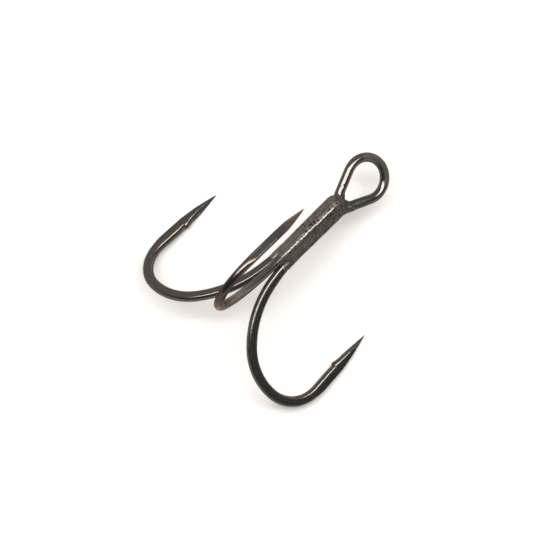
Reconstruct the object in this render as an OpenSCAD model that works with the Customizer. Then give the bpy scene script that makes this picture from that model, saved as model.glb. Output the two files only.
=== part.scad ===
// Treble fishing hook: a double hook wire with its eye, a single hook wire and the braze that joins them.
// +X runs along the shank toward the eye, +Z is up, the way the top hook points, and +Y is across.
// The hook lies on the points of its two lower hooks.

/* [Wire] */
// Diameter of the round wire in the shank and the eye, mm
wire_d = 1.25; // [0.6:0.05:2.5]
// Thickness of the forged bend, measured in the plane of the hook, mm
forged_in = 1.36; // [0.6:0.02:2.8]
// Thickness of the forged bend, measured across the plane of the hook, mm
forged_across = 1.12; // [0.5:0.02:2.5]
// Distance from the shank's centre line to the centre of each wire, mm
wire_offset = 0.86; // [0.5:0.02:1.6]

/* [Hooks] */
// Where the hooks start to leave the shank, measured back from the shank's reference point, mm
leave_x = 1.3; // [-4:0.1:4]
// Radius of the first, long bow below the shank, mm
bow_r = 24.7; // [10:0.1:60]
// Angle of the first, long bow, degrees
bow_a = 12; // [0:0.5:40]
// Radius of the upper bend, mm
bend1_r = 13.0; // [6:0.1:30]
// Angle of the upper bend, degrees
bend1_a = 37.5; // [10:0.5:70]
// Radius of the middle bend, mm
bend2_r = 8.0; // [3:0.1:20]
// Angle of the middle bend, degrees
bend2_a = 50.5; // [10:0.5:90]
// Radius of the lower bend, the tight one under the point, mm
bend3_r = 4.75; // [2:0.05:12]
// Angle of the lower bend, degrees
bend3_a = 83.5; // [30:0.5:120]
// Length of the straight spear from the bend to the tip, mm
spear_l = 9.6; // [4:0.1:20]
// Length of the point's taper, measured in the plane of the hook, mm
point_l = 5.4; // [2:0.1:10]
// Length of the point's taper, measured across the plane of the hook, mm
point_across_l = 3.2; // [1:0.1:10]
// Flat left on the very tip, mm
tip_d = 0.10; // [0.04:0.02:0.4]
// Distance from the tip to the top of the barb, mm
barb_back = 5.8; // [3:0.1:10]
// Length of the barb's rise, mm
barb_l = 1.5; // [0.5:0.1:3]
// Height of the barb above the spear, mm
barb_h = 0.18; // [0.05:0.01:0.8]

/* [Rest] */
// Tilt of the shank when the hook lies on its two lower points, degrees
rest_tilt = 9.2; // [0:0.1:15]

/* [Eye] */
// Where the two eye wires start to spread, mm
neck_x = 9.35; // [4:0.1:16]
// Radius of each neck, where a wire leaves the shank for the loop, mm
neck_r = 3.6; // [2:0.1:20]
// Half of the angle between the two wires below the loop, degrees
neck_a = 25; // [10:0.5:60]
// Centre-line radius of the loop, mm
loop_r = 2.80; // [1.5:0.02:6]
// Turn of the loop's plane about the shank, degrees
loop_twist = -26; // [-45:1:45]
// Sideways place of the loop's middle, mm
loop_y = -0.25; // [-1:0.01:1]
// Height of the loop's middle above the shank's centre line, mm
loop_z = -0.17; // [-1:0.01:1]

/* [Braze] */
// End of the braze on the hooks' side, mm
braze_x0 = -0.4; // [-5:0.1:4]
// End of the braze on the eye's side, mm
braze_x1 = 10.8; // [6:0.1:16]
// Thickness of the braze over the wires at the neck, mm
braze_coat = 0.16; // [0.04:0.01:0.5]
// Radius of the braze in the valleys between the wires, mm
braze_core_r = 0.98; // [0.6:0.02:1.4]
// How far the cut end of the single wire goes along the shank, mm
single_end_x = 9.7; // [6:0.1:14]

/* [Smoothness] */
// Sides of each wire
wire_sides = 16; // [8:2:32]
// Turn between two sections on a bend, degrees
bend_step = 4.5; // [2:0.5:12]
// Sides of the braze
braze_sides = 48; // [24:6:96]

/* [Hidden] */
wire_color = [0.20, 0.18, 0.16];
braze_color = [0.27, 0.25, 0.23];
wire_r = wire_d / 2;
in_r = forged_in / 2;
across_r = forged_across / 2;
// The round wire changes to the forged section over this length, mm
forge_run = 3.0;
// Clearance between the braze and the wires, mm
fit_gap = 0.01;
az_top = 90;
az_left = 330;
az_right = 210;
az_pair = 60;
hook_turn = bow_a + bend1_a + bend2_a + bend3_a;

// Points are [across, along]. A heading of 0 runs down the shank, 90 straight out, 180 back up.
function heading(a) = [sin(a), -cos(a)];
function outward(a) = [cos(a), sin(a)];

// The end of an arc that starts at p with heading a and turns by t at radius r
function arc_end(p, a, r, t) = p + r * outward(a) - r * outward(a + t);
// The points of that arc, without its last one
function arc_points(p, a, r, t) =
    let (n = max(2, ceil(t / bend_step)))
    [for (i = [0:n - 1]) let (q = t * i / n) [p + r * outward(a) - r * outward(a + q), a + q]];
function line_points(p, a, l, n) = [for (i = [0:n - 1]) [p + heading(a) * l * i / n, a]];

// The centre line of one hook from the shank to the tip, as [point, heading]
p0 = [wire_offset, leave_x];
p1 = arc_end(p0, 0, bow_r, bow_a);
p2 = arc_end(p1, bow_a, bend1_r, bend1_a);
p3 = arc_end(p2, bow_a + bend1_a, bend2_r, bend2_a);
p4 = arc_end(p3, bow_a + bend1_a + bend2_a, bend3_r, bend3_a);
p_tip = p4 + heading(hook_turn) * spear_l;
// Distances back from the tip at which the spear gets a section
spear_stops = [
    barb_back + 0.7, barb_back + 0.1, barb_back, barb_back - 0.25 * barb_l, barb_back - 0.5 * barb_l,
    barb_back - 0.75 * barb_l, barb_back - barb_l, 0.53 * point_l, 0.30 * point_l, 0.14 * point_l,
    0.05 * point_l, 0
];
hook_line = concat(
    arc_points(p0, 0, bow_r, bow_a),
    arc_points(p1, bow_a, bend1_r, bend1_a),
    arc_points(p2, bow_a + bend1_a, bend2_r, bend2_a),
    arc_points(p3, bow_a + bend1_a + bend2_a, bend3_r, bend3_a),
    [[p4, hook_turn]],
    [for (s = spear_stops) [p_tip - heading(hook_turn) * s, hook_turn]]
);

function smooth(x) = let (t = min(1, max(0, x))) t * t * (3 - 2 * t);
// How far a point is along the change from round to forged
function forged(p) = smooth((norm(p - p0)) / forge_run);
// Distance from the tip, exact on the spear
function from_tip(p, a) = a < hook_turn - 0.01 ? 99 : norm(p - p_tip);
// The needle point's size at a distance s from the tip, for a taper of length l that swells by the power e
function taper(s, l, e) = s >= l ? 1 : max(tip_d / forged_across, pow(s / l, e));
// The barb's rise at a distance s from the tip: a slow ramp up and a short drop behind
function barb(s) =
    s > barb_back ? max(0, 1 - (s - barb_back) / 0.1) :
    s > barb_back - barb_l ? smooth((s - barb_back + barb_l) / barb_l) : 0;

// A section is [centre, direction, side, in-plane radius, across radius, barb rise].
// place() turns a point across the shank and along it into the part's own axes.
function place(u, x, az) = [x, u * cos(az), u * sin(az)];
function hook_section(h, az) =
    let (
        p = h[0],
        a = h[1],
        s = from_tip(p, a),
        k_in = taper(s, point_l, 1.0),
        k_across = taper(s, point_across_l, 0.72),
        f = forged(p)
    )
    [
        place(p[0], p[1], az),
        [-cos(a), sin(a) * cos(az), sin(a) * sin(az)],
        [0, -sin(az), cos(az)],
        (wire_r + (in_r - wire_r) * f) * k_in,
        (wire_r + (across_r - wire_r) * f) * k_across,
        barb(s) * barb_h
    ];
function hook_sections(az) = [for (h = hook_line) hook_section(h, az)];
function reversed(v) = [for (i = [len(v) - 1:-1:0]) v[i]];

// The points of one section. grow adds to both radii.
function ring(s, grow = 0) =
    let (inward = cross(s[1], s[2]))
    [
        for (j = [0:wire_sides - 1])
            let (
                q = 360 * (j + 0.5) / wire_sides,
                bump = s[5] * pow(max(0, sign(s[5]) * cos(q)), 3)
            )
            s[0] + inward * (cos(q) * (s[3] + grow) + bump) + s[2] * sin(q) * (s[4] + grow)
    ];

// One closed tube through a list of sections
module sweep(sections, grow = 0) {
    n = len(sections);
    m = wire_sides;
    points = [for (s = sections) each ring(s, grow)];
    walls = [
        for (i = [0:n - 2])
            for (j = [0:m - 1])
                let (a = i * m + j, b = i * m + (j + 1) % m)
                each [[a, b, a + m], [b, b + m, a + m]]
    ];
    first = [for (j = [m - 1:-1:0]) j];
    last = [for (j = [0:m - 1]) (n - 1) * m + j];
    polyhedron(points, concat(walls, [first, last]), convexity = 8);
}

// The eye in its own plane: [across, along, heading], from the right side's neck round to the left one
half_gap = wire_offset * sin(60);
neck_in = half_gap + neck_r * (1 - cos(neck_a));
leg_l = (loop_r * cos(neck_a) - neck_in) / sin(neck_a);
neck_top = neck_x + neck_r * sin(neck_a);
loop_x = neck_top + leg_l * cos(neck_a) + loop_r * sin(neck_a);
eye_half = concat(
    [for (i = [0:5]) [half_gap, leave_x + (neck_x - leave_x) * i / 6, 0]],
    [for (i = [0:5]) let (q = neck_a * i / 6)
        [half_gap + neck_r * (1 - cos(q)), neck_x + neck_r * sin(q), q]],
    [for (i = [0:2]) let (t = leg_l * i / 3)
        [neck_in + t * sin(neck_a), neck_top + t * cos(neck_a), neck_a]],
    [for (i = [0:23]) let (q = -neck_a + (90 + neck_a) * i / 24)
        [loop_r * cos(q), loop_x + loop_r * sin(q), -q]]
);
// The pair's middle line lies half an offset off the centre line, away from the single wire
pair_mid = [0, cos(az_pair + 90), sin(az_pair + 90)] * wire_offset * cos(60);
// The pair starts to turn into the eye's plane this far before the single wire's cut end, mm
eye_turn_lead = 0.5;
// Length of that turn along the shank, mm
eye_turn_l = 1.8;
function eye_blend(x) = smooth((x - single_end_x + eye_turn_lead) / eye_turn_l);
function twist_at(x) = az_pair + loop_twist * eye_blend(x);
// The middle of the two wires moves from the shank's to the loop's
function eye_mid(x) = pair_mid + ([0, loop_y, loop_z] - pair_mid) * eye_blend(x);
function eye_section(e, side) =
    let (
        az = twist_at(e[1]),
        out = [0, cos(az), sin(az)],
        q = e[2]
    )
    [
        eye_mid(e[1]) + out * side * e[0] + [e[1], 0, 0],
        [cos(q), 0, 0] + out * side * sin(q),
        [0, -sin(az), cos(az)],
        wire_r,
        wire_r,
        0
    ];
// The side vector turns from each hook's plane to the loop's plane over the shank
function turned(s, x, az_hook, az_here) =
    let (
        f = smooth((x - leave_x) / (neck_x - 2 - leave_x)),
        az = az_hook + (az_here - az_hook) * f
    )
    [s[0], s[1], [0, -sin(az), cos(az)], s[3], s[4], s[5]];
top_leg = [for (e = eye_half) turned(eye_section(e, 1), e[1], az_top, twist_at(e[1]))];
right_leg = [for (e = eye_half) turned(eye_section(e, -1), e[1], az_right - 180, twist_at(e[1]))];
loop_top = [[
    eye_mid(loop_x) + [loop_x + loop_r, 0, 0],
    [0, -cos(az_pair + loop_twist), -sin(az_pair + loop_twist)],
    [0, -sin(az_pair + loop_twist), cos(az_pair + loop_twist)],
    wire_r,
    wire_r,
    0
]];
function backward(v) = [for (s = reversed(v)) [s[0], -s[1], s[2], s[3], s[4], -s[5]]];
function flipped_side(v) = [for (s = v) [s[0], s[1], -s[2], s[3], s[4], -s[5]]];
function tail(v) = [for (i = [1:len(v) - 1]) v[i]];

double_sections = concat(
    backward(tail(hook_sections(az_top))),
    top_leg,
    loop_top,
    backward(right_leg),
    flipped_side(tail(hook_sections(az_right)))
);

// The single wire: its cut end is slightly domed
cut_stops = [0, 0.03, 0.12, 0.26];
cut_sizes = [0.62, 0.80, 0.94, 1.0];
single_shank = concat(
    [for (i = [0:3]) [single_end_x - cut_stops[i], cut_sizes[i]]],
    [for (i = [1:5]) [single_end_x - 0.26 + (leave_x - single_end_x + 0.26) * i / 6, 1]]
);
single_sections = concat(
    [for (c = single_shank)
        [place(wire_offset, c[0], az_left), [-1, 0, 0], [0, -sin(az_left), cos(az_left)],
            wire_r * c[1], wire_r * c[1], 0]],
    hook_sections(az_left)
);

// The braze's outline about its own middle: three lobes over the wires and filled valleys between
braze_rings = 30;
blend_k = 9;
function bow_u(x) = x < leave_x ? bow_r - sqrt(bow_r * bow_r - (leave_x - x) * (leave_x - x)) : 0;
function neck_e(x) = half_gap + (x > neck_x ? neck_r - sqrt(neck_r * neck_r - (x - neck_x) * (x - neck_x)) : 0);
// The coat over the wires is thinner at the hooks' end, as a share of its thickest, and again on the eye's legs
coat_at_hooks = 0.45;
coat_thin_eye = 0.25;
function coat(x) =
    braze_coat * (coat_at_hooks + (1 - coat_at_hooks) * smooth(x / 8))
    * (1 - coat_thin_eye * smooth((x - single_end_x) / 1.4));
function mid_at(x) = eye_mid(x) * smooth((x - neck_x) / 2);
function leg_at(x, side, az) =
    let (t = twist_at(x), far = x < leave_x ? wire_offset + bow_u(x) : 0)
    far > 0 ? [0, cos(az), sin(az)] * far : eye_mid(x) + [0, cos(t), sin(t)] * side * neck_e(x);
// Length of the domed cover past the single wire's cut end, mm
dome_l = 0.9;
function dome(x) = x < single_end_x ? 1 : sqrt(max(0, 1 - pow((x - single_end_x) / dome_l, 2)));
// The legs of the eye lean, so they need more room in a section across the shank
lean_share = 0.09;
function lean(x) = 1 + lean_share * smooth((x - neck_x) / 2);
// Each lobe is [centre, radius]
function lobes(x) = [
    [leg_at(x, 1, az_top), (wire_r + coat(x)) * lean(x)],
    [leg_at(x, -1, az_right), (wire_r + coat(x)) * lean(x)],
    [[0, cos(az_left), sin(az_left)] * (wire_offset + bow_u(x)), (wire_r + coat(x)) * dome(x)]
];
// Distance from the middle to a lobe's far side along the direction q, or 0 where it misses
function reach(l, mid, q) =
    let (
        d = l[0] - mid,
        c = d[1] * cos(q) + d[2] * sin(q),
        s = d[1] * sin(q) - d[2] * cos(q),
        h = l[1] * l[1] - s * s
    )
    h <= 0 || c < 0 ? 0 : c + sqrt(h);
// The filled middle is a little slimmer at the hooks and narrows between the eye's legs
core_slim_hooks = 0.12;
core_slim_eye = 0.52;
function core_at(x) =
    braze_core_r * (1 - core_slim_hooks * smooth((braze_x0 + 2 - x) / 2))
    * (1 - core_slim_eye * smooth((x - neck_x) / (braze_x1 - neck_x)));
function outline(x, q) =
    let (
        mid = mid_at(x),
        all = concat([core_at(x)], [for (l = lobes(x)) reach(l, mid, q)]),
        sum = [for (r = all) exp(blend_k * r)]
    )
    ln(sum[0] + sum[1] + sum[2] + sum[3] - 3) / blend_k;

module braze_envelope() {
    m = braze_sides;
    points = [
        for (i = [0:braze_rings])
            let (x = braze_x0 + (braze_x1 - braze_x0) * i / braze_rings, mid = mid_at(x))
            for (j = [0:m - 1])
                let (q = 360 * j / m, r = outline(x, q))
                [x, mid[1] + r * cos(q), mid[2] + r * sin(q)]
    ];
    walls = [
        for (i = [0:braze_rings - 1])
            for (j = [0:m - 1])
                let (a = i * m + j, b = i * m + (j + 1) % m)
                each [[a, a + m, b], [b, a + m, b + m]]
    ];
    first = [for (j = [0:m - 1]) j];
    last = [for (j = [m - 1:-1:0]) braze_rings * m + j];
    polyhedron(points, concat(walls, [first, last]), convexity = 8);
}

// The sleeve without the wires that it holds, made as one mesh
module braze_body() {
    minkowski() {
        difference() {
            braze_envelope();
            sweep(double_sections, fit_gap);
            sweep(single_sections, fit_gap);
        }
    }
}

// The hook lies on its two lower points, and its shank slopes down toward the eye.
// The origin is under the middle of it, on the surface it lies on.
function tilted(p) = [
    p[0] * cos(rest_tilt) + p[2] * sin(rest_tilt),
    p[1],
    p[2] * cos(rest_tilt) - p[0] * sin(rest_tilt)
];
wire_points = [for (s = concat(double_sections, single_sections)) for (p = ring(s)) tilted(p)];
x_ends = [min([for (p = wire_points) p[0]]), max([for (p = wire_points) p[0]])];
shift = [-(x_ends[0] + x_ends[1]) / 2, 0, -min([for (p = wire_points) p[2]])];
module placed() {
    translate(shift) rotate([0, rest_tilt, 0]) children();
}

// One wire, point to point: the top hook, the eye and the right hook
module double_hook_wire() {
    color(wire_color) placed() sweep(double_sections);
}

// The second wire: the left hook, with its cut end beside the neck of the eye
module single_hook_wire() {
    color(wire_color) placed() sweep(single_sections);
}

module braze() {
    color(braze_color) placed() braze_body();
}

double_hook_wire();
single_hook_wire();
braze();
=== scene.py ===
import math
import bmesh
import bpy
import numpy as np
from mathutils import Matrix, Vector, noise


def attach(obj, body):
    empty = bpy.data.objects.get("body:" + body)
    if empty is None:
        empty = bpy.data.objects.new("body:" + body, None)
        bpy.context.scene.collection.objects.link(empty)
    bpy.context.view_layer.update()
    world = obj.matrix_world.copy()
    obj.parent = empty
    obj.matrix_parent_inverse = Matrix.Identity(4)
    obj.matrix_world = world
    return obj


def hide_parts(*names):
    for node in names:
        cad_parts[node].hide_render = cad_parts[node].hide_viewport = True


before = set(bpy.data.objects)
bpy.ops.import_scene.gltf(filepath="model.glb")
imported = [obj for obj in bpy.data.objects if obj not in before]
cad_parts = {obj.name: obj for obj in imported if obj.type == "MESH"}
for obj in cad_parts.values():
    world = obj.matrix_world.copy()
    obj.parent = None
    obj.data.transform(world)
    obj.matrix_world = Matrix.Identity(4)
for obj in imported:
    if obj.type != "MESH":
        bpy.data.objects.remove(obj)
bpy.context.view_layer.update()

MM = 0.001
rad = math.radians

# ---- dimensions, in mm and degrees, in the hook's own axes: x runs along the shank toward the eye ----

# The wire's radius, and half its forged section in the hook's plane and across it
WIRE_R = 0.625
IN_R = 0.68
ACROSS_H = 0.555

# The directions of the three hooks about the shank, and of the line through the eye's two wires
AZ_TOP = 90.0
AZ_LEFT = 330.0
AZ_RIGHT = 210.0
AZ_PAIR = 60.0

# How far each wire lies from the shank's axis, and half the distance between two of them
OFFSET = 0.86
HALF_GAP = OFFSET * math.sin(rad(AZ_LEFT - AZ_RIGHT) / 2)

# Where a hook leaves the shank, and its bends from there on: radius and angle
LEAVE_X = 1.3
BENDS = [(24.7, 12.0), (13.0, 37.5), (8.0, 50.5), (4.75, 83.5)]

# The straight spear after the bends. The left hook's was drawn out a little longer
SPEAR_L = 9.6
LEFT_LONGER = 0.38

# The lengths over which the point narrows in the hook's plane and across it, how fast, and what is left
POINT_L = 5.4
POINT_POWER = 1.0
POINT_ACROSS_L = 3.2
POINT_ACROSS_POWER = 0.72
TIP_SHARE = 0.045

# The barb: its distance from the tip, its length and height, the hollow behind it and its sharp edge
BARB_BACK = 5.8
BARB_L = 1.4
BARB_H = 0.17
BARB_CUT = 0.08
BARB_LIP = 0.04
BARB_EDGE = 0.01

# The eye: its neck's start, radius and angle, its loop's radius and turn, and its middle's place off the axis
NECK_X = 9.35
NECK_R = 3.6
NECK_A = 25.0
LOOP_R = 2.80
LOOP_TWIST = -26.0
LOOP_Y = -0.25
LOOP_Z = -0.17

# Where the single hook's wire is cut off
SINGLE_END = 9.7

# Where along each hook its sides start to be forged flat, and over what length
FORGE_FROM = -2.5
FORGE_L = 5.0
FLAT_FROM = 0.4
FLAT_L = 5.0
# Half the width that the round sides would reach if the forging hadn't flattened them; 0 stands for the eye
FLANK_R = {AZ_TOP: 0.59, AZ_LEFT: 0.69, AZ_RIGHT: 0.72, 0: WIRE_R}
# The half-width at which a wire that isn't forged is cut flat: past its own radius, so it stays round
ROUND_LIMIT = 0.95
# How squarely the forged sides meet the flats
FLAT_POWER = 8

# Where along a hook its outer side turns from round to flat, how flat, and the top one's lean toward +Y
CROWN_FROM = 26.4
CROWN_L = 2.0
CROWN_POWER = 12
CROWN_LEAN = 0.04

# A nick in the eye's left leg
NICK_X = 11.95
NICK_DEEP = 0.075
NICK_WIDE = 0.06

# Points round a wire, and the distance between its sections along the bends and along the spear
SIDES = 64
LINE_STEP = 0.14
SPEAR_STEP = 0.08
TIP_CROWDING = 1.15
# A stand-in for the distance to a tip, where a wire has none near
NO_TIP = 99.0

# From the hook's own axes to the row's: a tilt about +Y until the hook rests, then a shift onto the floor
TILT = rad(9.2)
TURN = np.array([
    [math.cos(TILT), 0.0, math.sin(TILT)],
    [0.0, 1.0, 0.0],
    [-math.sin(TILT), 0.0, math.cos(TILT)]])
SHIFT = np.array([-2.00804, 0.0, 8.06947])


# ---- small helpers ----
def row(p):
    """A point in the hook's own axes, mm, as a point of the row, metres."""
    return tuple((TURN @ np.asarray(p, dtype=float) + SHIFT) * MM)


def lerp(a, b, t):
    return a + (b - a) * t


def smooth(t):
    """An S-shaped step: 0 up to t = 0, and 1 from t = 1 on."""
    t = min(max(t, 0.0), 1.0)
    return t * t * (3 - 2 * t)


def band(x, start, rise, end, fall):
    """Climbs from 0 at start to 1 over rise, and drops back to 0 from end over fall."""
    return smooth((x - start) / rise) * (1 - smooth((x - end) / fall))


def bell(x, middle, width):
    return math.exp(-((x - middle) / width) ** 2)


def unit(angle):
    return np.array([math.cos(angle), math.sin(angle)])


def heading(angle):
    return np.array([math.sin(angle), -math.cos(angle)])


def steps(n):
    return [i / n for i in range(n)]


# ---- the wires' centre lines ----
def hook_line():
    """A hook from the shank to its tip: points as [across, along], with their heading and distance run."""
    point = np.array([OFFSET, LEAVE_X])
    angle = 0.0
    run = 0.0
    stops = []
    for radius, degrees in BENDS:
        turn = rad(degrees)
        for t in steps(round(radius * turn / LINE_STEP)):
            now = angle + turn * t
            stops.append((point + radius * (unit(angle) - unit(now)), now, run + radius * turn * t))
        point = point + radius * (unit(angle) - unit(angle + turn))
        angle += turn
        run += radius * turn
    # The sections draw together toward the tip, and two more make the barb's sharp edge
    n = round(SPEAR_L / SPEAR_STEP)
    along = [SPEAR_L * (1 - (1 - i / n) ** TIP_CROWDING) for i in range(n + 1)]
    along += [SPEAR_L - BARB_BACK - BARB_LIP, SPEAR_L - BARB_BACK + BARB_EDGE]
    stops += [(point + heading(angle) * s, angle, run + s) for s in sorted(along)]
    return stops


LINE = hook_line()
HOOK_LEN = LINE[-1][2]

NECK_IN = HALF_GAP + NECK_R * (1 - math.cos(rad(NECK_A)))
NECK_TOP = NECK_X + NECK_R * math.sin(rad(NECK_A))
LEG_L = (LOOP_R * math.cos(rad(NECK_A)) - NECK_IN) / math.sin(rad(NECK_A))
LOOP_X = NECK_TOP + LEG_L * math.cos(rad(NECK_A)) + LOOP_R * math.sin(rad(NECK_A))
LOOP_MID = np.array([LOOP_X, LOOP_Y, LOOP_Z])
PAIR_MID = unit(rad(AZ_PAIR + 90)) * OFFSET * 0.5

# Where the two wires start to move from the pair's place to the eye's, and over what length
BLEND_FROM = SINGLE_END - 0.5
BLEND_L = 1.8


def twist_at(x):
    """The direction of the line through the eye's two wires."""
    return rad(AZ_PAIR + LOOP_TWIST * smooth((x - BLEND_FROM) / BLEND_L))


def eye_mid(x):
    """The point midway between the eye's two wires, as [y, z]."""
    return lerp(PAIR_MID, LOOP_MID[1:], smooth((x - BLEND_FROM) / BLEND_L))


def side_of(az):
    """The direction square to a hook's plane."""
    return np.array([0.0, -math.sin(az), math.cos(az)])


def section(c, d, n, flat=0.0, tip=NO_TIP, run=0.0, hook=0, leg=0, turn=0.0, convex=None):
    """A wire's centre, direction and side, and the facts there: forging, distances, and which hook or leg."""
    return dict(c=c, d=d, n=n, flat=flat, tip=tip, run=run, hook=hook, leg=leg, turn=turn, convex=convex)


def hook_sections(hook):
    az = rad(hook)
    c, s = unit(az)
    sections = []
    for (across, along), angle, run in LINE:
        centre = np.array([along, across * c, across * s])
        ahead = np.array([-math.cos(angle), math.sin(angle) * c, math.sin(angle) * s])
        convex = np.array([-math.sin(angle), -math.cos(angle) * c, -math.cos(angle) * s])
        tip = HOOK_LEN - run
        if hook == AZ_LEFT:
            centre = centre + ahead * LEFT_LONGER * max(0.0, 1 - tip / SPEAR_L)
        flat = smooth((run - FLAT_FROM) / FLAT_L)
        sections.append(section(centre, ahead, side_of(az), flat, tip, run, hook, convex=convex))
    return sections


def eye_path():
    """Half the eye's wire, from a hook to the loop's top: distance off its middle line, x, and heading."""
    neck = rad(NECK_A)
    path = [(HALF_GAP, lerp(LEAVE_X, NECK_X, t), 0.0) for t in steps(50)]
    for t in steps(22):
        q = neck * t
        path.append((HALF_GAP + NECK_R * (1 - math.cos(q)), NECK_X + NECK_R * math.sin(q), q))
    for t in steps(22):
        far = LEG_L * t
        path.append((NECK_IN + far * math.sin(neck), NECK_TOP + far * math.cos(neck), neck))
    for t in steps(56):
        q = lerp(-neck, rad(90), t)
        path.append((LOOP_R * math.cos(q), LOOP_X + LOOP_R * math.sin(q), -q))
    return path


def eye_half(leg, hook):
    """One leg of the eye, 1 for the top hook's and -1 for the right hook's."""
    az_hook = rad(hook)
    sections = []
    for off, x, q in eye_path():
        o = unit(twist_at(x)) * leg
        m = eye_mid(x)
        az_side = lerp(az_hook, twist_at(x), smooth((x - LEAVE_X) / (NECK_X - 2 - LEAVE_X)))
        sections.append(section(
            np.array([x, m[0] + o[0] * off, m[1] + o[1] * off]),
            np.array([math.cos(q), math.sin(q) * o[0], math.sin(q) * o[1]]),
            side_of(az_side), leg=leg, turn=max(0.0, -q)))
    return sections


def loop_top():
    az = twist_at(LOOP_X)
    m = eye_mid(LOOP_X)
    centre = np.array([LOOP_X + LOOP_R, m[0], m[1]])
    return [section(centre, np.array([0.0, -math.cos(az), -math.sin(az)]), side_of(az), turn=rad(90))]


def turn_back(sections):
    return [dict(s, d=-s["d"]) for s in reversed(sections)]


def flip_side(sections):
    return [dict(s, n=-s["n"]) for s in sections]


def double_sections():
    top = hook_sections(AZ_TOP)
    right = hook_sections(AZ_RIGHT)
    return (turn_back(top[1:]) + eye_half(1, AZ_TOP) + loop_top()
            + turn_back(eye_half(-1, AZ_RIGHT - 180)) + flip_side(right[1:]))


def single_sections():
    az = rad(AZ_LEFT)
    y, z = OFFSET * unit(az)
    back = np.array([-1.0, 0.0, 0.0])
    xs = np.linspace(SINGLE_END, LEAVE_X, 50)[:-1]
    return [section(np.array([x, y, z]), back, side_of(az)) for x in xs] + hook_sections(AZ_LEFT)


# ---- where the wires are wetted by braze, worn, scuffed and stained ----
# Each hook's braze run: the x at which it starts to fade, and over what length
WET_HOOK = {AZ_TOP: (-0.2, 2.6), AZ_LEFT: (-1.7, 1.2), AZ_RIGHT: (-0.3, 0.5)}
WET_LEG = {1: (10.0, 0.25), -1: (12.0, 2.8)}
# The loop of the eye, where the braze doesn't reach
DRY_FROM_X = 12.0

# Along the loop, in degrees: where the scuffing starts and over what angle, for each leg and the top
SCUFF_TURN = {1: (18.0, 22.0), 0: (22.0, 32.0), -1: (22.0, 32.0)}

# Along the top hook, in mm of its run: start, rise, end and fall
WORN_RUN = (4.0, 12.0, 19.6, 2.6)
TURN_FILM_RUN = (18.3, 1.2, 21.2, 1.6)
BEND_FILM_RUN = (20.5, 2.5, 28.5, 2.5)
BEND_SHADE_RUN = (21.0, 1.2, 24.6, 1.6)
SPEAR_SHADE_FROM, SPEAR_SHADE_L = 27.0, 1.5
COPPER_FROM, COPPER_L = 20.5, 3.0

# Round a section: where each starts, and over how much. The first two are shares of the radius, the others
# are degrees
SCUFF_FROM, SCUFF_L = -0.6, 0.4
CONVEX_FROM, CONVEX_L = -0.3, 1.2
CUT_SHADE_FROM, CUT_SHADE_L = 95.0, 25.0
BEND_FILM_FROM, BEND_FILM_L = 6.0, 16.0
FLANK_SHADE_FROM, FLANK_SHADE_L = 34.0, 12.0
# How much of the wear reaches the concave side
WORN_CONCAVE = 0.62
TURN_FILM_SHARE = 0.95
# Where a barb's cut is painted dark as painted shade, as a distance from the tip, and how far along the spear
CUT_SHADE_BACK = BARB_BACK + 0.05
CUT_SHADE_REACH = 0.22

# The copper-coloured edge: the length over which it changes toward the tip, and then, along the spear and at
# the tip, its place round the section and its width, both in degrees, and its strength
COPPER_TIP_L = 5.0
COPPER_PLACE = (50.0, 64.0)
COPPER_WIDTH = (11.0, 27.0)
COPPER_SHARE = (0.6, 0.85)

# How high braze that has run along a wire stands, and by how much broad and fine lumps vary it
RUN_H, RUN_BROAD, RUN_FINE = 0.030, 0.022, 0.012
# On the right hook it is thinner
RUN_SHARE = {AZ_RIGHT: 0.3}


def wetting(sec):
    """How much braze has run along the wire: 1 under the braze, fading past its ends."""
    x = sec["c"][0]
    if sec["hook"]:
        start, length = WET_HOOK[sec["hook"]]
        return smooth(1 + (x - start) / length)
    if sec["leg"]:
        start, length = WET_LEG[sec["leg"]]
        return 1 - smooth((x - start) / length)
    return 0.0 if x > DRY_FROM_X else 1.0


def scuff(sec, outward_share):
    """The loop of the eye is rubbed dull round its outer side, from its top toward the right leg."""
    if sec["turn"] <= 0:
        return 0.0
    start, length = SCUFF_TURN[sec["leg"]]
    along = smooth((math.degrees(sec["turn"]) - start) / length)
    return along * smooth((outward_share - SCUFF_FROM) / SCUFF_L)


def wear(sec, offset):
    """The top hook's plating is worn through to tan steel along its bends, most on their convex side."""
    if sec["hook"] != AZ_TOP:
        return 0.0
    convex = np.dot(offset, sec["convex"]) / WIRE_R
    return band(sec["run"], *WORN_RUN) * lerp(WORN_CONCAVE, 1.0, smooth((convex - CONVEX_FROM) / CONVEX_L))


def copper(sec, angle):
    """A copper-coloured edge on the top hook's spear. The angle is 0 outward and 90 toward +Y."""
    if sec["hook"] != AZ_TOP:
        return 0.0
    near_tip = smooth(1 - sec["tip"] / COPPER_TIP_L)
    edge = bell(angle, lerp(*COPPER_PLACE, near_tip), lerp(*COPPER_WIDTH, near_tip))
    return edge * lerp(*COPPER_SHARE, near_tip) * smooth((sec["run"] - COPPER_FROM) / COPPER_L)


def film_and_shade(sec, angle):
    """A brown film on the top hook's turn and last bend, and painted shade in the barbs' cuts and on the
    flank of the top hook's spear that faces away from the light.
    """
    in_cut = bell(sec["tip"], CUT_SHADE_BACK, CUT_SHADE_REACH)
    in_cut *= smooth((abs(angle) - CUT_SHADE_FROM) / CUT_SHADE_L)
    if sec["hook"] != AZ_TOP:
        return in_cut
    run = sec["run"]
    turn = TURN_FILM_SHARE * band(run, *TURN_FILM_RUN)
    bend = band(run, *BEND_FILM_RUN) * smooth((angle - BEND_FILM_FROM) / BEND_FILM_L)
    spear = smooth((run - SPEAR_SHADE_FROM) / SPEAR_SHADE_L) * smooth((-angle - FLANK_SHADE_FROM) / FLANK_SHADE_L)
    return max(turn, bend, spear, in_cut)


def bend_shade(sec):
    """Painted shade: the plating is painted nearly black along the start of the top hook's last bend, where
    it faces dark surroundings.
    """
    return band(sec["run"], *BEND_SHADE_RUN) if sec["hook"] == AZ_TOP else 0.0


# ---- the wires' meshes ----
WIRE_MARKS = ("along", "around", "flat", "wet", "worn", "copper", "scuff", "ground", "film_and_shade", "bend_shade")


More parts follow.
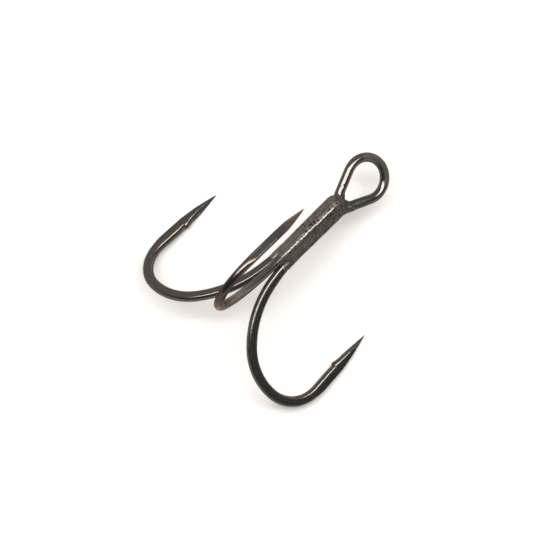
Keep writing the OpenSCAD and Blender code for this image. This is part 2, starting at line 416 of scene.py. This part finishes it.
def taper(tip, length, power):
    """The share of the full width that a point keeps at a distance from its tip."""
    return 1.0 if tip >= length else max(TIP_SHARE, (tip / length) ** power)


def barb_rise(tip):
    """How far the barb stands above the spear: a cut sliver with a hollow behind it."""
    if tip < BARB_BACK:
        return BARB_H * smooth((tip - BARB_BACK + BARB_L) / BARB_L) ** 1.5
    behind = tip - BARB_BACK
    if behind < BARB_LIP:
        return lerp(BARB_H, -BARB_CUT, behind / BARB_LIP)
    return -BARB_CUT * (1 - smooth((behind - BARB_LIP) / BARB_L))


def braze_run(sec, wet, p):
    """How far braze that has run along a wire stands up, and how unevenly."""
    p = Vector(p)
    height = RUN_H + RUN_BROAD * noise.noise(p * 1.6) + RUN_FINE * noise.noise(p * 4.0)
    return height * wet * (1 - sec["flat"]) * RUN_SHARE.get(sec["hook"], 1.0)


def ring(sec):
    """The points round one section of a wire, each with its marks."""
    c, n = sec["c"], sec["n"]
    w = np.cross(sec["d"], n)
    # The inner side of a hook faces the shank
    inner = 1.0 if np.dot(w, (0.0, -c[1], -c[2])) > 0 else -1.0
    k = taper(sec["tip"], POINT_L, POINT_POWER)
    k_across = taper(sec["tip"], POINT_ACROSS_L, POINT_ACROSS_POWER)
    forged = smooth((sec["run"] - FORGE_FROM) / FORGE_L) if sec["hook"] else 0.0
    crown = smooth((sec["run"] - CROWN_FROM) / CROWN_L) if sec["hook"] else 0.0
    a = lerp(WIRE_R, IN_R, sec["flat"]) * k
    b = lerp(WIRE_R, FLANK_R[sec["hook"]], sec["flat"]) * k_across
    limit = lerp(ROUND_LIMIT, ACROSS_H, forged) * k_across
    lean = CROWN_LEAN * crown * k * (1.0 if n[1] < 0 else -1.0) if sec["hook"] == AZ_TOP else 0.0
    rise = barb_rise(sec["tip"]) * k
    dent = NICK_DEEP * bell(c[0], NICK_X, NICK_WIDE) if sec["leg"] > 0 else 0.0
    wet = wetting(sec)
    for j in range(SIDES):
        q = 2 * math.pi * (j + 0.5) / SIDES
        cq, sq = math.cos(q), math.sin(q)
        on_outside = -inner * cq > 0
        x = a * cq
        if crown > 0 and on_outside:
            level = a * math.sqrt(1 - abs(sq) ** CROWN_POWER)
            x = lerp(x, math.copysign(level, cq), crown) + math.copysign(1.0, cq) * lean * sq
        y = b * sq
        y /= (1 + (abs(y) / limit) ** FLAT_POWER) ** (1 / FLAT_POWER)
        x += inner * rise * max(0.0, inner * cq) ** 3
        offset = w * x + n * y
        up = offset[2] / max(1e-6, np.linalg.norm(offset))
        lump = braze_run(sec, wet, c + offset) if wet > 0 else 0.0
        angle = math.degrees(math.atan2(offset[1], -inner * x))
        outward = np.dot(offset, c - LOOP_MID) / (WIRE_R * LOOP_R)
        yield c + offset * (1 + (lump - dent * max(0.0, up) ** 2) / WIRE_R), {
            "around": q, "flat": sec["flat"], "wet": wet, "worn": wear(sec, offset),
            "copper": copper(sec, angle), "scuff": scuff(sec, outward),
            "ground": crown if on_outside else 0.0, "film_and_shade": film_and_shade(sec, angle), "bend_shade": bend_shade(sec)}


def make_mesh(name, verts, faces, marks):
    mesh = bpy.data.meshes.new(name)
    mesh.from_pydata(verts, [], faces)
    mesh.update()
    # Wind every face outward
    bm = bmesh.new()
    bm.from_mesh(mesh)
    bmesh.ops.recalc_face_normals(bm, faces=bm.faces)
    bm.to_mesh(mesh)
    bm.free()
    for mark, values in marks.items():
        attribute = mesh.attributes.new(mark, "FLOAT", "POINT")
        attribute.data.foreach_set("value", np.asarray(values, dtype=np.float32))
    mesh.polygons.foreach_set("use_smooth", [True] * len(mesh.polygons))
    piece = bpy.data.objects.new(name, mesh)
    bpy.context.scene.collection.objects.link(piece)
    return piece


def sweep(name, sections):
    """A wire's mesh: a ring of points on every section, and a cap at each end."""
    verts = []
    marks = {mark: [] for mark in WIRE_MARKS}
    along = 0.0
    last = sections[0]["c"]
    for sec in sections:
        along += np.linalg.norm(sec["c"] - last)
        last = sec["c"]
        for point, values in ring(sec):
            verts.append(row(point))
            for mark, value in {"along": along, **values}.items():
                marks[mark].append(value)
    faces = []
    for i in range(len(sections) - 1):
        for j in range(SIDES):
            here = i * SIDES + j
            beside = i * SIDES + (j + 1) % SIDES
            faces.append((here, here + SIDES, beside + SIDES, beside))
    end = (len(sections) - 1) * SIDES
    faces.append(tuple(range(SIDES)))
    faces.append(tuple(end + j for j in reversed(range(SIDES))))
    return make_mesh(name, verts, faces, marks)


# ---- the braze: lobes over the wires, filled valleys, a crest, lumps and pits ----
BRAZE_START = -1.4
BRAZE_END = 11.6
BRAZE_STEPS = 300
# The coat over the wires, at the hooks and near the eye; where it ends it dips under the wire's surface
COAT_AT_HOOKS = 0.085
COAT_AT_EYE = 0.145
COAT_SUNK = -0.05
COAT_L = 8.0
START_FADE = 1.0
END_FADE = 0.55
# The dome over the single wire's cut end: where it starts to curve down, and over what length
DOME_FROM = SINGLE_END - 0.25
DOME_L = 1.4
# How closely the surface follows the lobes and the core where they meet
BLEND = 10.0
CORE_R = 1.12
# The web between the eye's legs ends in a rounded hollow
THROAT_FROM = 10.2
THROAT_BACK = 0.42
THROAT_HALF = 0.85
THROAT_RINGS = 10
# The crest's height, and its width in degrees
CREST_H = 0.055
CREST_W = 3.0
# Lumps, broad and less broad, the fine grain, and the depth of the pits
BROAD_LUMP_H = 0.026
LUMP_H = 0.016
GRAIN_H = 0.006
PIT_DEEP = 0.07
# The left mark is the side of the braze that is painted lighter, as painted light.
BRAZE_MARKS = ("crest", "pit", "left")


def bow_u(x):
    """How far the first bend has carried a hook from the shank's line."""
    r = BENDS[0][0]
    return r - math.sqrt(r * r - (LEAVE_X - x) ** 2) if x < LEAVE_X else 0.0


def neck_e(x):
    """How far each leg of the eye stands off the middle line: straight, then the neck's arc, then the leg."""
    if x > NECK_TOP:
        return NECK_IN + (x - NECK_TOP) * math.tan(rad(NECK_A))
    if x > NECK_X:
        return HALF_GAP + NECK_R - math.sqrt(NECK_R ** 2 - (x - NECK_X) ** 2)
    return HALF_GAP


def lobe_centres(x):
    """Where the wires' centre lines cross a section of the braze: top, right and left."""
    u = OFFSET + bow_u(x)
    top, right, left = (unit(rad(az)) * u for az in (AZ_TOP, AZ_RIGHT, AZ_LEFT))
    if x >= LEAVE_X:
        o = unit(twist_at(x)) * neck_e(x)
        top = eye_mid(x) + o
        right = eye_mid(x) - o
    return top, right, left


def core_radius(x):
    """The filling between the wires: full along the shank, less toward the hooks and in the web."""
    core = CORE_R * (1 - 0.45 * smooth((LEAVE_X - 0.6 - x) / 1.8))
    core *= 1 + 0.10 * smooth((x - 7.5) / 1.5) - 0.60 * smooth((x - 9.7) / 1.6)
    return core * math.sqrt(max(0.02, 1 - max(0.0, (x - 10.6) / (BRAZE_END - 10.6)) ** 2))


def end_fade(x):
    """1 along the braze, and 0 at its two ends, where it thins out on the wires."""
    return smooth((x - BRAZE_START) / START_FADE) * smooth((BRAZE_END - x) / END_FADE)


def braze_middle(x):
    """The middle of the braze's section: the shank's axis, then the eye's middle line."""
    return eye_mid(x) * smooth((x - NECK_X) / 2)


def braze_lobes(x):
    """The section's three lobes, as [y, z, radius] about its middle."""
    coat = lerp(COAT_SUNK, lerp(COAT_AT_HOOKS, COAT_AT_EYE, smooth(x / COAT_L)), end_fade(x))
    # On the eye's left leg the braze stops short
    coat_top = lerp(coat, COAT_SUNK, smooth((x - 9.9) / 0.4))
    # The eye's legs slope, so a section cuts them a little wider
    slope = 1.0 + 0.065 * smooth((x - NECK_X) / 2.6)
    # The single wire's cut end is covered by a dome
    over = min(1.0, max(0.0, (x - DOME_FROM) / DOME_L))
    dome = (1 - over ** 2.6) ** (1 / 2.2)
    radii = ((WIRE_R + coat_top) * slope, (WIRE_R + coat) * slope, (WIRE_R + coat + 0.03) * dome)
    middle = braze_middle(x)
    return [(*(centre - middle), r) for centre, r in zip(lobe_centres(x), radii)]


def braze_radius(q, lobes, core):
    """The distance out to the surface in direction q: the farthest lobe or the core, blended."""
    cq, sq = math.cos(q), math.sin(q)
    total = math.exp(BLEND * core) - len(lobes)
    for y, z, r in lobes:
        ahead = y * cq + z * sq
        beside = y * sq - z * cq
        room = r * r - beside * beside
        total += math.exp(BLEND * (ahead + math.sqrt(room))) if room > 0 and ahead > 0 else 1.0
    return math.log(total) / BLEND


def braze_angles():
    """Directions round the section, close together about the crest."""
    first, step, n = 82, 0.55, 165
    fine = [first + step * i for i in range(48)]
    coarse = [lerp(fine[-1], 360 + first, (i + 1) / (n + 1)) for i in range(n)]
    return [rad(a) for a in fine + coarse]


def crest_angle(x):
    return 93.0 + 7.0 * x / 9.0


def crest_strength(x):
    """The crest is broken: a blob at the hook end, a thin stretch, a bold stretch and a faint one. The same
    pattern sets where it is painted bright as a highlight.
    """
    blob = bell(x, -0.45, 0.22)
    thin = 0.92 * band(x, -0.35, 0.25, 2.3, 0.3)
    bold = band(x, 2.5, 0.35, 8.4, 0.8)
    faint = 0.45 * band(x, 8.8, 0.3, 9.6, 0.5)
    return max(blob, thin, bold, faint)


def crest_at(x, degrees):
    """The crest wanders and changes its width along the shank."""
    wander = 3.0 * noise.noise(Vector((x * 1.1, 4.0, 9.0))) + 2.6 * noise.noise(Vector((x * 3.6, 1.0, 2.0)))
    width = CREST_W * (0.95 + 0.9 * noise.noise(Vector((x * 3.1, 7.0, 7.0))))
    return crest_strength(x) * bell(degrees, crest_angle(x) + wander, width)


def uneven(p):
    """The height of the braze's lumps and grain at a point."""
    broad = BROAD_LUMP_H * noise.noise(p * 0.9)
    lump = LUMP_H * noise.noise(p * 2.4 + Vector((7, 3, 1)))
    return broad + lump + GRAIN_H * noise.noise(p * 7.5)


def pit_at(x, degrees, p, crest):
    """Pits in two patches, on the faces to either side of the crest, and in a row along it."""
    left = smooth(1.35 - abs(x - 5.4) / 2.2)
    right = smooth(1.3 - abs(x - 7.2) / 3.4)
    along_crest = 0.85 * crest_strength(x) * bell(degrees, crest_angle(x), 13.0)
    patch = max(left if degrees < AZ_TOP else right, along_crest)
    cells = noise.noise(p * 3.4 + Vector((2, 9, 4)))
    return smooth((cells - 0.52 + 0.36 * patch) / 0.12) * (1 - crest)


def lit_side(x, degrees):
    """1 on the side of the left hook, from the crest down to straight below, and 0 on the right: the side
    painted lighter as painted light, the other painted darker as painted shade.
    """
    return smooth(0.5 + (crest_angle(x) - degrees) / 30) if degrees < AZ_TOP + 180 else 1.0


def throat(x, y, z):
    """The x of a point, moved back where the web between the eye's legs is hollowed."""
    middle = eye_mid(x)
    across = np.dot((y - middle[0], z - middle[1]), unit(twist_at(x)))
    near = smooth((x - THROAT_FROM) / (BRAZE_END - THROAT_FROM))
    return x - THROAT_BACK * near * max(0.0, 1 - (across / THROAT_HALF) ** 2)


def braze_mesh(name):
    angles = braze_angles()
    n = len(angles)
    verts = []
    faces = []
    marks = {mark: [] for mark in BRAZE_MARKS}

    def place(x, y, z, values=(0.0, 0.0, 0.0)):
        verts.append(row((x, y, z)))
        for mark, value in zip(BRAZE_MARKS, values):
            marks[mark].append(value)

    for i in range(BRAZE_STEPS + 1):
        x = lerp(BRAZE_START, BRAZE_END, i / BRAZE_STEPS)
        middle = braze_middle(x)
        lobes = braze_lobes(x)
        core = core_radius(x)
        fade = end_fade(x)
        for q in angles:
            r = braze_radius(q, lobes, core)
            p = Vector((x, *(middle + r * unit(q))))
            degrees = math.degrees(q) % 360
            crest = crest_at(x, degrees)
            pit = pit_at(x, degrees, p, crest)
            r += (uneven(p) - PIT_DEEP * pit) * fade + CREST_H * crest
            y, z = middle + r * unit(q)
            place(throat(x, y, z), y, z, (crest, pit * fade, lit_side(x, degrees)))
    for i in range(BRAZE_STEPS):
        for j in range(n):
            here = i * n + j
            beside = i * n + (j + 1) % n
            faces.append((here, beside, beside + n, here + n))
    # The hook end closes on a point drawn into the joint
    first = len(verts)
    place(BRAZE_START + 0.9, 0.0, 0.0)
    faces += [(first, (j + 1) % n, j) for j in range(n)]
    # The eye end closes on rings that follow the throat's hollow
    middle = eye_mid(BRAZE_END)
    outer = BRAZE_STEPS * n
    for i in range(1, THROAT_RINGS):
        inner = len(verts)
        for q in angles:
            y, z = middle + braze_radius(q, lobes, core) * (1 - i / THROAT_RINGS) * unit(q)
            place(throat(BRAZE_END, y, z), y, z)
        faces += [(outer + j, outer + (j + 1) % n, inner + (j + 1) % n, inner + j) for j in range(n)]
        outer = inner
    last = len(verts)
    place(throat(BRAZE_END, *middle), *middle)
    faces += [(outer + j, outer + (j + 1) % n, last) for j in range(n)]
    return make_mesh(name, verts, faces, marks)


# ---- materials ----
class Material:
    """A node material whose methods return sockets, so that its masks and colours read as formulas."""

    def __init__(self, name):
        self.material = bpy.data.materials.new(name)
        self.material.use_nodes = True
        self.tree = self.material.node_tree
        self.tree.nodes.clear()
        self.shader = self.node("ShaderNodeBsdfPrincipled")
        self.tree.links.new(self.shader.outputs[0], self.node("ShaderNodeOutputMaterial").inputs[0])

    def node(self, kind, inputs=None, **settings):
        node = self.tree.nodes.new(kind)
        for setting, value in settings.items():
            setattr(node, setting, value)
        for key, value in (inputs or {}).items():
            self.feed(node.inputs[key], value)
        return node

    def feed(self, socket, value):
        """Sets a socket to a number or colour, or links another node's output to it."""
        if isinstance(value, bpy.types.NodeSocket):
            self.tree.links.new(value, socket)
        elif socket.type == "RGBA":
            socket.default_value = (*value, 1.0)
        else:
            socket.default_value = value

    def surface(self, **sockets):
        """Feeds the shader's own sockets, whose names have _ for each space."""
        for name, value in sockets.items():
            self.feed(self.shader.inputs[name.replace("_", " ")], value)

    def attr(self, name):
        return self.node("ShaderNodeAttribute", attribute_name=name).outputs["Fac"]

    def math(self, operation, *values, clamp=False):
        inputs = dict(enumerate(values))
        return self.node("ShaderNodeMath", inputs, operation=operation, use_clamp=clamp).outputs[0]

    def times(self, a, b, clamp=False):
        return self.math("MULTIPLY", a, b, clamp=clamp)

    def plus(self, a, b):
        return self.math("ADD", a, b)

    def minus(self, a, b):
        return self.math("SUBTRACT", a, b)

    def most(self, a, b):
        return self.math("MAXIMUM", a, b)

    def ramp(self, value, start, end, low=0.0, high=1.0):
        """An S-shaped step from low to high, as the value goes from start to end."""
        inputs = {"Value": value, "From Min": start, "From Max": end, "To Min": low, "To Max": high}
        return self.node("ShaderNodeMapRange", inputs, interpolation_type="SMOOTHSTEP").outputs["Result"]

    def mix(self, share, a, b):
        """From a, where the share is 0, to b, where it is 1."""
        return self.node("ShaderNodeMix", {0: share, 6: a, 7: b}, data_type="RGBA").outputs[2]

    def broken(self, mark, patches, start, end):
        """A mark of the mesh, broken up by noise."""
        return self.times(self.attr(mark), self.ramp(patches, start, end), clamp=True)

    def in_mm(self):
        """The object's own coordinates, in mm."""
        place = self.node("ShaderNodeTexCoord").outputs["Object"]
        return self.node("ShaderNodeMapping", {"Vector": place, "Scale": (1 / MM, 1 / MM, 1 / MM)}).outputs[0]

    def noise(self, place, scale, detail=4.0, rough=0.55):
        inputs = {"Vector": place, "Scale": scale, "Detail": detail, "Roughness": rough}
        return self.node("ShaderNodeTexNoise", inputs).outputs["Fac"]

    def combine(self, x, y):
        return self.node("ShaderNodeCombineXYZ", {0: x, 1: y}).outputs[0]

    def bump(self, height, strength, distance):
        inputs = {"Strength": strength, "Distance": distance, "Height": height}
        self.surface(Normal=self.node("ShaderNodeBump", inputs).outputs[0])


# Plating, plain and warmer, its draw lines, specks and mottling, where it is ground, and painted shade where
# it is nearly black
PLATING = (0.106, 0.105, 0.104)
PLATING_WARM = (0.116, 0.106, 0.099)
DRAW_LINE = (0.150, 0.128, 0.110)
SPECK = (0.24, 0.21, 0.185)
MOTTLE = (0.055, 0.052, 0.050)
GROUND = (0.088, 0.083, 0.079)
BEND_SHADE = (0.040, 0.041, 0.044)
# Worn plating, bare steel, and the cracks in what is left
WORN = (0.112, 0.096, 0.085)
BARE = (0.50, 0.44, 0.375)
CRACK = (0.025, 0.020, 0.018)
# The scuffed loop, the brown film that is also painted shade in the barbs' cuts and on the spear's flank, and
# the copper-coloured edge
SCUFF_DARK = (0.036, 0.034, 0.032)
SCUFF_LIGHT = (0.076, 0.070, 0.065)
FILM_AND_SHADE = (0.085, 0.058, 0.046)
COPPER = (0.40, 0.17, 0.085)
PLATING_EDGE = (0.36, 0.28, 0.23)
# Braze, painted lighter on the left and darker on the right as painted light and shade, its grain and stains,
# its pits painted dark as painted shade, and its crest painted bright as a painted highlight
BRAZE_LIT = (0.118, 0.115, 0.110)
BRAZE_SHADED = (0.074, 0.072, 0.070)
BRAZE_DULL = (0.062, 0.057, 0.052)
BRAZE_LIGHT = (0.20, 0.188, 0.175)
BRAZE_DARK = (0.045, 0.041, 0.037)
RUST = (0.075, 0.050, 0.043)
PIT_SHADE = (0.018, 0.015, 0.013)
CREST_HIGHLIGHT = (0.62, 0.56, 0.48)
BRAZE_EDGE = (0.55, 0.47, 0.42)
# Paper
PAPER_DARK = (0.66, 0.66, 0.66)
PAPER_LIGHT = (0.69, 0.69, 0.69)


def wire_material(name):
    """Black nickel plating over drawn wire: glossy, with draw lines, grain on the forged flats, and wear."""
    m = Material(name)
    mm = m.in_mm()
    flat = m.attr("flat")
    ground = m.attr("ground")
    film_and_shade_mask = m.attr("film_and_shade")
    broad = m.noise(mm, 0.33, 3.0)
    grain = m.noise(mm, 4.2, 4.0, 0.75)
    lengthwise = m.combine(m.times(m.attr("along"), 0.55), m.times(m.attr("around"), 2.2))
    streak = m.noise(lengthwise, 3.0, 5.0, 0.6)
    speck = m.ramp(m.noise(mm, 5.0, 4.0, 0.7), 0.56, 0.68)
    wet = m.broken("wet", m.noise(mm, 1.4, 4.0, 0.6), 0.30, 0.50)
    worn = m.broken("worn", m.noise(mm, 0.9, 5.0, 0.65), 0.25, 0.50)
    scuffed = m.broken("scuff", m.noise(mm, 1.1, 4.0, 0.6), 0.25, 0.50)

    # Plating
    c = m.mix(m.ramp(broad, 0.40, 0.62), PLATING, PLATING_WARM)
    c = m.mix(m.ramp(streak, 0.45, 0.75, 0.0, 0.45), c, DRAW_LINE)
    c = m.mix(m.times(speck, m.plus(m.times(flat, 0.6), 0.15)), c, SPECK)
    c = m.mix(m.times(m.ramp(grain, 0.52, 0.40), m.times(flat, 0.45)), c, MOTTLE)
    # Wetted wire takes the braze's darker tone, the one that is painted as shade on the braze's right side.
    c = m.mix(wet, c, BRAZE_SHADED)
    # Worn bends, with chips and cracks
    bare = m.times(m.ramp(grain, 0.36, 0.58), m.ramp(m.attr("worn"), 0.66, 0.98, 0.12, 1.0))
    c = m.mix(worn, c, m.mix(bare, WORN, BARE))
    chips = m.ramp(m.noise(mm, 4.5, 3.0, 0.7), 0.54, 0.62)
    c = m.mix(m.times(chips, m.times(worn, 0.6)), c, BARE)
    contour = m.math("ABSOLUTE", m.minus(m.noise(mm, 0.95, 2.0, 0.5), 0.5))
    crack = m.times(m.ramp(contour, 0.050, 0.018), m.ramp(worn, 0.4, 0.8))
    c = m.mix(m.times(crack, 0.85), c, CRACK)
    # Scuffs and stains, and painted shade on the spear's flank, in the barbs' cuts and along the start of the
    # top hook's last bend
    c = m.mix(m.times(scuffed, 0.8), c, m.mix(m.ramp(grain, 0.40, 0.62), SCUFF_DARK, SCUFF_LIGHT))
    c = m.mix(m.times(ground, 0.55), c, GROUND)
    # Brown film on the top hook's turn and last bend; painted shade in the barbs' cuts and on the spear's
    # flank.
    c = m.mix(m.times(film_and_shade_mask, 0.7), c, FILM_AND_SHADE)
    # Painted shade: nearly black along the start of the top hook's last bend.
    c = m.mix(m.times(m.attr("bend_shade"), 0.65), c, BEND_SHADE)
    c = m.mix(m.attr("copper"), c, COPPER)

    damaged = m.most(m.most(wet, worn), scuffed)
    rough = m.plus(m.ramp(broad, 0.3, 0.7, 0.07, 0.11), m.times(flat, 0.025))
    rough = m.plus(rough, m.times(speck, 0.10))
    rough = m.plus(rough, m.times(damaged, 0.28))
    rough = m.plus(rough, m.times(ground, 0.06))
    rough = m.plus(rough, m.times(film_and_shade_mask, 0.22))
    dull = m.most(scuffed, m.times(worn, 0.6))
    metal = m.minus(1.0, m.times(dull, 0.65))
    m.surface(Base_Color=c, Metallic=metal, Roughness=rough, Specular_Tint=PLATING_EDGE)
    grainy = m.plus(m.times(m.most(damaged, m.times(flat, 0.5)), 1.6), 0.15)
    m.bump(m.plus(m.times(grain, grainy), m.times(streak, 0.25)), 0.5, 0.00003)
    return m.material


def braze_material(name):
    """Braze metal under the plating: matt and pitted, rust-stained on one side, painted lighter on its left
    side and darker on its right as painted light and shade, with painted shade in its pits and its crest
    painted bright as a painted highlight.
    """
    m = Material(name)
    mm = m.in_mm()
    left = m.attr("left")
    crest = m.ramp(m.attr("crest"), 0.25, 0.6)
    broad = m.noise(mm, 0.45, 4.0)
    middling = m.noise(mm, 1.7, 5.0, 0.6)
    grain = m.noise(mm, 3.8, 5.0, 0.8)
    pits = m.most(m.attr("pit"), m.times(m.ramp(m.noise(mm, 3.2, 3.0, 0.5), 0.66, 0.72), 0.7))
    stain = m.times(m.ramp(middling, 0.50, 0.62), m.minus(0.85, m.times(left, 0.55)))

    # Painted light and shade: the braze's left side is painted lighter and its right side darker.
    c = m.mix(left, BRAZE_SHADED, BRAZE_LIT)
    c = m.mix(m.ramp(broad, 0.40, 0.65, 0.0, 0.5), c, BRAZE_DULL)
    c = m.mix(stain, c, RUST)
    c = m.mix(m.ramp(grain, 0.52, 0.64, 0.0, 0.75), c, BRAZE_LIGHT)
    c = m.mix(m.ramp(grain, 0.50, 0.38, 0.0, 0.65), c, BRAZE_DARK)
    # Painted shade: the pits are painted nearly black.
    c = m.mix(m.times(pits, 0.9), c, PIT_SHADE)
    # Painted highlight: the crest is painted bright, and made less metallic so that the painted colour shows.
    c = m.mix(crest, c, CREST_HIGHLIGHT)

    rough = m.plus(m.ramp(middling, 0.3, 0.7, 0.36, 0.50), m.times(pits, 0.2))
    metal = m.minus(0.85, m.times(crest, 0.45))
    m.surface(Base_Color=c, Metallic=metal, Roughness=rough, Specular_Tint=BRAZE_EDGE)
    height = m.minus(m.plus(m.times(middling, 0.5), m.times(grain, 0.6)), m.times(pits, 0.8))
    m.bump(height, 0.7, 0.00004)
    return m.material


def paper_material(name):
    m = Material(name)
    cloudy = m.noise(m.in_mm(), 0.05, 3.0)
    m.surface(Base_Color=m.mix(cloudy, PAPER_DARK, PAPER_LIGHT), Roughness=0.9, Specular_IOR_Level=0.1)
    return m.material


# ---- the three pieces ----
def stand_for(piece, material, node):
    piece.data.materials.append(material)
    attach(piece, "root")
    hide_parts(node)


plated = wire_material("black_nickel_wire")
stand_for(sweep("double_hook_visual", double_sections()), plated, "double_hook_wire")
stand_for(sweep("single_hook_visual", single_sections()), plated, "single_hook_wire")
stand_for(braze_mesh("braze_visual"), braze_material("braze_filler"), "braze")

# ---- the floor, the camera and the light ----
FLOOR_HALF = 3.0

# Where the camera stands, in degrees and metres, and the point on the hook that it looks at
CAM_AZIMUTH = -124.718
CAM_ELEVATION = 79.229
CAM_ROLL = -12.067
CAM_DISTANCE = 0.30057
CAM_TARGET = Vector((-0.00461, 0.00048, 0.009))
CAM_LENS = 159.15
CAM_SENSOR = 36.0

# The key light: its direction as right, up and toward the camera, then its distance, size, watts and colour
KEY_FROM = (0.0, 0.26, 1.0)
KEY_TARGET = Vector((0, 0, 0.009))
KEY_DISTANCE = 0.9
KEY_SIZE = (1.46, 0.46)
KEY_POWER = 17.2
KEY_COLOUR = (1.0, 0.965, 0.92)

# The surroundings low in the picture and high in it, and between which heights they change
WORLD_LOW = (0.27, 0.27, 0.265)
WORLD_HIGH = (0.72, 0.64, 0.59)
WORLD_FROM = -0.15
WORLD_TO = 0.75


def camera_axes():
    """The camera's right, up and back, from its azimuth, elevation and roll."""
    az, el, roll = rad(CAM_AZIMUTH), rad(CAM_ELEVATION), rad(CAM_ROLL)
    back = Vector((math.cos(el) * math.cos(az), math.cos(el) * math.sin(az), math.sin(el)))
    level = Vector((-math.sin(az), math.cos(az), 0.0))
    right = level * math.cos(roll) + back.cross(level) * math.sin(roll)
    return right, back.cross(right), back


RIGHT, UP, BACK = camera_axes()


def matrix_of(x, y, z, at):
    """The matrix that puts a thing at a point, with its axes along x, y and z."""
    return Matrix.LocRotScale(at, Matrix((x, y, z)).transposed(), None)


def add(name, data, matrix=None):
    thing = bpy.data.objects.new(name, data)
    if matrix is not None:
        thing.matrix_world = matrix
    bpy.context.scene.collection.objects.link(thing)
    return thing


def add_floor():
    mesh = bpy.data.meshes.new("floor")
    corners = [(x * FLOOR_HALF, y * FLOOR_HALF, 0) for x, y in ((-1, -1), (1, -1), (1, 1), (-1, 1))]
    mesh.from_pydata(corners, [], [(0, 1, 2, 3)])
    mesh.materials.append(paper_material("floor_paper"))
    add("floor", mesh)


def add_world():
    """Soft surroundings: neutral and dim low down, warmer and brighter toward the top of the picture."""
    world = bpy.data.worlds.new("studio")
    world.use_nodes = True
    nodes, links = world.node_tree.nodes, world.node_tree.links
    height = nodes.new("ShaderNodeVectorMath")
    height.operation = "DOT_PRODUCT"
    height.inputs[1].default_value = UP
    links.new(nodes.new("ShaderNodeTexCoord").outputs["Generated"], height.inputs[0])
    ramp = nodes.new("ShaderNodeMapRange")
    ramp.interpolation_type = "SMOOTHSTEP"
    ramp.inputs["From Min"].default_value = WORLD_FROM
    ramp.inputs["From Max"].default_value = WORLD_TO
    links.new(height.outputs["Value"], ramp.inputs["Value"])
    mix = nodes.new("ShaderNodeMix")
    mix.data_type = "RGBA"
    mix.inputs[6].default_value = (*WORLD_LOW, 1.0)
    mix.inputs[7].default_value = (*WORLD_HIGH, 1.0)
    links.new(ramp.outputs["Result"], mix.inputs[0])
    links.new(mix.outputs[2], nodes["Background"].inputs["Color"])
    bpy.context.scene.world = world


def add_key_light():
    """One soft light above the camera, with its long side level with the picture."""
    light = bpy.data.lights.new("key", "AREA")
    light.shape = "RECTANGLE"
    light.size, light.size_y = KEY_SIZE
    light.energy = KEY_POWER
    light.color = KEY_COLOUR
    z = (RIGHT * KEY_FROM[0] + UP * KEY_FROM[1] + BACK * KEY_FROM[2]).normalized()
    x = (RIGHT - z * RIGHT.dot(z)).normalized()
    add("key", light, matrix_of(x, z.cross(x), z, KEY_TARGET + z * KEY_DISTANCE))


def add_camera():
    camera = bpy.data.cameras.new("camera")
    camera.sensor_width = CAM_SENSOR
    camera.lens = CAM_LENS
    camera.clip_start = 0.01
    camera.clip_end = 20
    at = CAM_TARGET + BACK * CAM_DISTANCE
    bpy.context.scene.camera = add("camera", camera, matrix_of(RIGHT, UP, BACK, at))


add_floor()
add_world()
add_key_light()
add_camera()
bpy.context.scene.view_settings.view_transform = "Standard"
